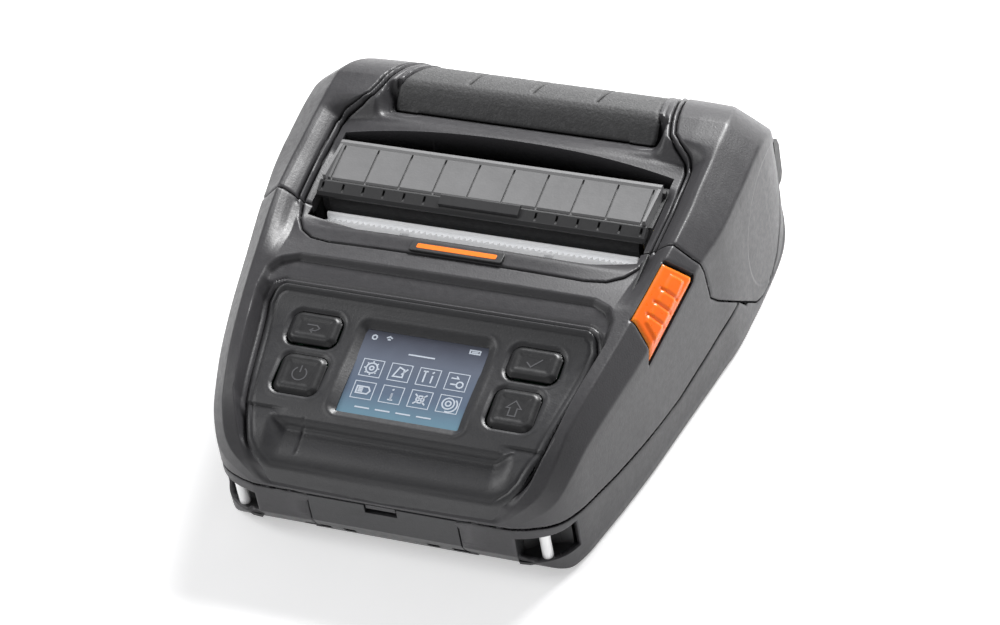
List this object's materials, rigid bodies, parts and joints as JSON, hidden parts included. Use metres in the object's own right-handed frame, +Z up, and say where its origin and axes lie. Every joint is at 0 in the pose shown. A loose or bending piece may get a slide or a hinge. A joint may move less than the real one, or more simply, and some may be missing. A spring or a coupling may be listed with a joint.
{
  "type": "portable barcode printer",
  "caption": "Portable clamshell label printer with a hinged roll cover, sloped display panel with keys, side release button, sliding battery pack and geared platen drive.",
  "frame": {"origin": "middle of the footprint, on the surface the printer stands on", "axes": "+X to the printer's right seen from the front, +Y to the rear, +Z up; the control panel faces -Y and +Z"},
  "size_m": [0.1604, 0.187, 0.0647],
  "materials": {
    "case_plastic": "fine spark texture, satin",
    "panel_plastic": "grained matt",
    "black_plastic": "matt",
    "rib_plastic": "satin",
    "badge_plastic": "satin",
    "key_rubber": "soft matt",
    "grip_rubber": "grained soft",
    "roller_rubber": "ground smooth",
    "lens_glass": "clear gloss",
    "orange_plastic": "satin",
    "steel_bright": "ground",
    "motor_steel": "plated",
    "aluminium_plain": "plain",
    "brass_plain": "plain",
    "head_ceramic": "glazed line",
    "board_green": "solder mask",
    "gear_nylon": "moulded",
    "battery_plastic": "satin",
    "guide_plastic": "moulded"
  },
  "bodies": {
    "case": {"lower_case": "case_plastic", "front_case": "case_plastic", "control_panel": "panel_plastic", "display_lens": "lens_glass", "display_module": "black_plastic", "key_board": "board_green", "badge_plate": "badge_plastic", "tear_bar": "steel_bright", "guide_bar": "steel_bright", "print_head": "head_ceramic", "head_heatsink": "aluminium_plain", "head_springs": "steel_bright", "media_frame": "black_plastic", "feed_motor": "motor_steel", "main_board": "board_green", "battery_contacts": "brass_plain", "hinge_bracket": "black_plastic", "hinge_pin": "steel_bright", "strap_pins": "steel_bright", "case_screws": "motor_steel", "media_sensor": "black_plastic", "port_block": "motor_steel", "release_spring": "steel_bright"},
    "cover": {"media_cover": "case_plastic", "grip_pad": "grip_rubber", "rib_plate": "rib_plastic", "peel_bar": "black_plastic", "platen_carrier": "black_plastic", "platen_bushes": "brass_plain", "hinge_leaf": "black_plastic"},
    "platen": {"platen_roller": "roller_rubber", "platen_shaft": "steel_bright", "platen_gear": "gear_nylon"},
    "idler": {"idler_gear": "gear_nylon"},
    "rotor": {"motor_pinion": "brass_plain"},
    "button": {"release_button": "orange_plastic"},
    "latch": {"latch_hooks": "motor_steel"},
    "feed_key": {"key_feed": "key_rubber"},
    "power_key": {"key_power": "key_rubber"},
    "check_key": {"key_check": "key_rubber"},
    "home_key": {"key_home": "key_rubber"},
    "battery": {"battery_pack": "battery_plastic"},
    "catch": {"battery_catch": "battery_plastic"},
    "left_guide": {"guide_left": "guide_plastic"},
    "right_guide": {"guide_right": "guide_plastic"},
    "link_pinion": {"guide_pinion": "gear_nylon"},
    "port_flap": {"port_cover": "grip_rubber"}
  },
  "joints": [
    {"name": "cover_hinge", "type": "hinge", "parent": "case", "child": "cover", "pos_m": [0, 0.0791, 0.0471], "axis": [-1, 0, 0], "range_deg": [0, 85]},
    {"name": "platen_spin", "type": "hinge", "parent": "cover", "child": "platen", "pos_m": [0, 0.0135, 0.0495], "axis": [1, 0, 0], "continuous": true},
    {"name": "idler_spin", "type": "hinge", "parent": "case", "child": "idler", "pos_m": [-0.066, 0.00505, 0.03485], "axis": [1, 0, 0], "continuous": true},
    {"name": "rotor_spin", "type": "hinge", "parent": "case", "child": "rotor", "pos_m": [-0.066, -0.0101, 0.0326], "axis": [1, 0, 0], "continuous": true},
    {"name": "button_rock", "type": "hinge", "parent": "case", "child": "button", "pos_m": [0.066, -0.0165, 0.057], "axis": [0, 1, 0], "range_deg": [0, 4.5], "stiffness_Nm_per_rad": 0.6},
    {"name": "latch_turn", "type": "hinge", "parent": "case", "child": "latch", "pos_m": [0, 0.0105, 0.024], "axis": [1, 0, 0], "range_deg": [0, 6]},
    {"name": "feed_key_press", "type": "slide", "parent": "case", "child": "feed_key", "axis": [0, 0.2283, -0.9736], "range_m": [0, 0.0007], "stiffness_N_per_m": 500},
    {"name": "power_key_press", "type": "slide", "parent": "case", "child": "power_key", "axis": [0, 0.2283, -0.9736], "range_m": [0, 0.0007], "stiffness_N_per_m": 500},
    {"name": "check_key_press", "type": "slide", "parent": "case", "child": "check_key", "axis": [0, 0.2283, -0.9736], "range_m": [0, 0.0007], "stiffness_N_per_m": 500},
    {"name": "home_key_press", "type": "slide", "parent": "case", "child": "home_key", "axis": [0, 0.2283, -0.9736], "range_m": [0, 0.0007], "stiffness_N_per_m": 500},
    {"name": "battery_slide", "type": "slide", "parent": "case", "child": "battery", "axis": [0, -1, 0], "range_m": [0, 0.09]},
    {"name": "catch_press", "type": "slide", "parent": "battery", "child": "catch", "axis": [0, 0, -1], "range_m": [0, 0.0014], "stiffness_N_per_m": 300},
    {"name": "right_guide_slide", "type": "slide", "parent": "case", "child": "right_guide", "axis": [-1, 0, 0], "range_m": [0, 0.036]},
    {"name": "left_guide_slide", "type": "slide", "parent": "case", "child": "left_guide", "axis": [1, 0, 0], "range_m": [0, 0.036]},
    {"name": "link_pinion_turn", "type": "hinge", "parent": "case", "child": "link_pinion", "pos_m": [0, 0.0145, 0.0068], "axis": [0, 0, 1], "range_deg": [0, 344]},
    {"name": "port_flap_hinge", "type": "hinge", "parent": "case", "child": "port_flap", "pos_m": [0.0587, 0.0872, 0.009], "axis": [-1, 0, 0], "range_deg": [0, 90]}
  ],
  "couplings": [
    {"joint": "idler_spin", "follows": "platen_spin", "ratio": -0.75},
    {"joint": "rotor_spin", "follows": "platen_spin", "ratio": 1.2857},
    {"joint": "latch_turn", "follows": "button_rock", "ratio": 1.3333},
    {"joint": "left_guide_slide", "follows": "right_guide_slide", "ratio": 1},
    {"joint": "link_pinion_turn", "follows": "right_guide_slide", "rad_per_m": 166.67}
  ]
}
